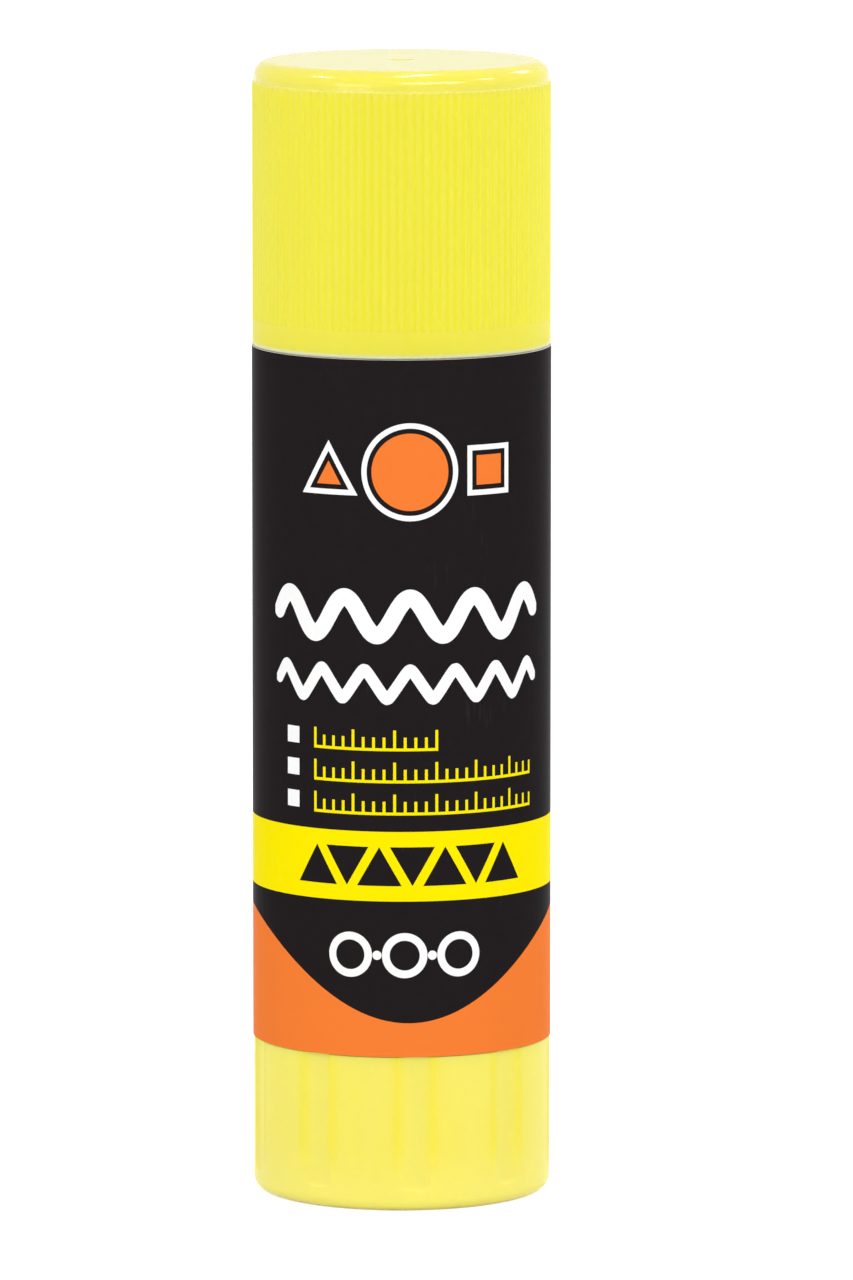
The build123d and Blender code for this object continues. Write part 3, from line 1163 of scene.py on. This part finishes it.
@dataclass
class Carriage:
    """What rides on the screw: the platform and the glue that it lifts."""

    finish: PlasticFinish = SCREW_NATURAL
    nut_height: float = 6.0

    def dress(self, skin: bpy.types.NodeTree) -> None:
        """Give the platform its finish."""
        dress("platform", self.finish.material(skin))

    def fill(self) -> None:
        """Build the glue in its cup."""
        low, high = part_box("glue")
        cup_low, cup_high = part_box("platform")
        glue = GlueStick(
            radius=high.x / MM, bottom=low.z / MM, top=high.z / MM, cup_top=cup_high.z / MM,
            nut_top=cup_low.z / MM + self.nut_height)
        piece = glue.build()
        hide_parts("glue")
        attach(piece, "carriage")
        log.info("filled %s with %d faces", piece.name, len(piece.data.polygons))


def seen_directly(graph: NodeGraph) -> Socket:
    """Tell what the camera sees, also in a reflection or through something clear.

    Args:
        graph: The nodes of the floor or the world.

    Returns:
        1 for such rays, and 0 for those that only carry light.
    """
    path = graph.add("ShaderNodeLightPath")
    seen = graph.maths("MAXIMUM", path.outputs["Is Camera Ray"], path.outputs["Is Glossy Ray"])
    return graph.maths("MAXIMUM", seen, path.outputs["Is Transmission Ray"])


@dataclass
class Studio:
    """The pale floor, the soft lights and the camera at the photograph's angle."""

    camera_distance: float = 1.0
    camera_height: float = 0.1862
    aim_side: float = 0.00225
    aim_height: float = 0.0501
    lens: float = 313.8
    clip: tuple[float, float] = (0.1, 20.0)
    lamp_aim: Place = (0.0, 0.0, 0.05)
    floor_size: float = 6.0
    floor_colour: Colour = linear(231, 231, 231)
    floor_glow: float = 0.6
    world_strength: float = 0.62

    def floor(self) -> None:
        """Lay the pale floor, which shows white to the camera except in shadow."""
        half = self.floor_size / 2
        mesh = bpy.data.meshes.new("floor")
        corners = [(-half, -half, 0), (half, -half, 0), (half, half, 0), (-half, half, 0)]
        mesh.from_pydata(corners, [], [(0, 1, 2, 3)])
        made, graph = new_material("pale_floor")
        paper = graph.add("ShaderNodeBsdfDiffuse", {"Color": self.floor_colour})
        glow = graph.add("ShaderNodeEmission", {
            "Color": (1.0, 1.0, 1.0), "Strength": self.floor_glow})
        both = graph.add("ShaderNodeAddShader", {0: paper.outputs[0], 1: glow.outputs[0]})
        surface = graph.add("ShaderNodeMixShader", {
            0: seen_directly(graph), 1: paper.outputs[0], 2: both.outputs[0]})
        graph.add("ShaderNodeOutputMaterial", {"Surface": surface.outputs[0]})
        mesh.materials.append(made)
        plane = new_object("floor", mesh)

    def world(self) -> None:
        """Make the surroundings: white to look at, softer as a light."""
        world = bpy.data.worlds.new("studio")
        bpy.context.scene.world = world
        world.use_nodes = True
        graph = NodeGraph(world.node_tree)
        strength = graph.ramp(seen_directly(graph), 0.0, 1.0, self.world_strength, 1.0)
        back = graph.add("ShaderNodeBackground", {"Color": (1.0, 1.0, 1.0), "Strength": strength})
        graph.add("ShaderNodeOutputWorld", {"Surface": back.outputs[0]})

    def stand(self, name: str, data: bpy.types.ID, place: Place, aim: Place) -> bpy.types.Object:
        """Stand a lamp or a camera somewhere, facing a point.

        Args:
            name: Its name.
            data: The lamp or the camera.
            place: Where it stands.
            aim: What it faces.

        Returns:
            Its object.
        """
        made = new_object(name, data)
        made.location = place
        toward = Vector(aim) - Vector(place)
        made.rotation_euler = toward.to_track_quat("-Z", "Y").to_euler()
        return made

    def lamp(self, name: str, place: Place, width: float, depth: float, power: float,
             glint: bool = False) -> None:
        """Add a soft rectangular lamp that faces the object.

        Args:
            name: Its name.
            place: Where it stands.
            width: Its longer side.
            depth: Its shorter side.
            power: Its power in watts.
            glint: Whether it shows in reflections alone.
        """
        light = bpy.data.lights.new(name, "AREA")
        light.shape = "RECTANGLE"
        light.size = width
        light.size_y = depth
        light.energy = power
        lamp = self.stand(name, light, place, self.lamp_aim)
        lamp.visible_diffuse = not glint

    def lights(self) -> None:
        """Set the plain soft light: a wide key, a fill and lamps that show as glints."""
        self.lamp("key", (0.44, -0.93, 0.56), width=1.0, depth=0.34, power=3.3)
        self.lamp("fill", (-0.7, -0.9, 0.2), width=0.6, depth=0.4, power=2.2)
        self.lamp("top", (0.07, -0.03, 1.05), width=0.5, depth=0.07, power=4.6, glint=True)
        self.lamp("brow", (0.4, -0.86, 0.52), width=0.8, depth=0.05, power=3.2, glint=True)
        self.lamp("high_left", (-0.69, -0.07, 0.82), width=0.24, depth=0.14, power=1.8)
        self.lamp("high_right", (0.82, -0.19, 0.64), width=0.2, depth=0.12, power=1.4)
        self.lamp("rear_right", (0.62, 0.57, 0.63), width=0.18, depth=0.18, power=1.6)

    def camera(self) -> None:
        """Stand the camera where the photograph was taken from."""
        data = bpy.data.cameras.new("camera")
        data.lens = self.lens
        data.clip_start, data.clip_end = self.clip
        place = (self.aim_side, -self.camera_distance, self.camera_height)
        aim = (self.aim_side, 0.0, self.aim_height)
        bpy.context.scene.camera = self.stand("camera", data, place, aim)

    def build(self) -> None:
        """Set up the camera, floor, surroundings and lights."""
        self.camera()
        self.floor()
        self.world()
        self.lights()
        bpy.context.scene.view_settings.view_transform = "Standard"
        log.info("studio ready")


def main() -> None:
    """Build and dress every sub-assembly in order."""
    logging.basicConfig(level=logging.INFO, format="%(message)s")
    Studio().build()
    skin = moulded_skin()
    Cap().dress(skin)
    barrel = Barrel()
    barrel.dress(skin)
    barrel.wrap()
    Drive().dress(skin)
    carriage = Carriage()
    carriage.dress(skin)
    carriage.fill()


if __name__ == "__main__":
    main()
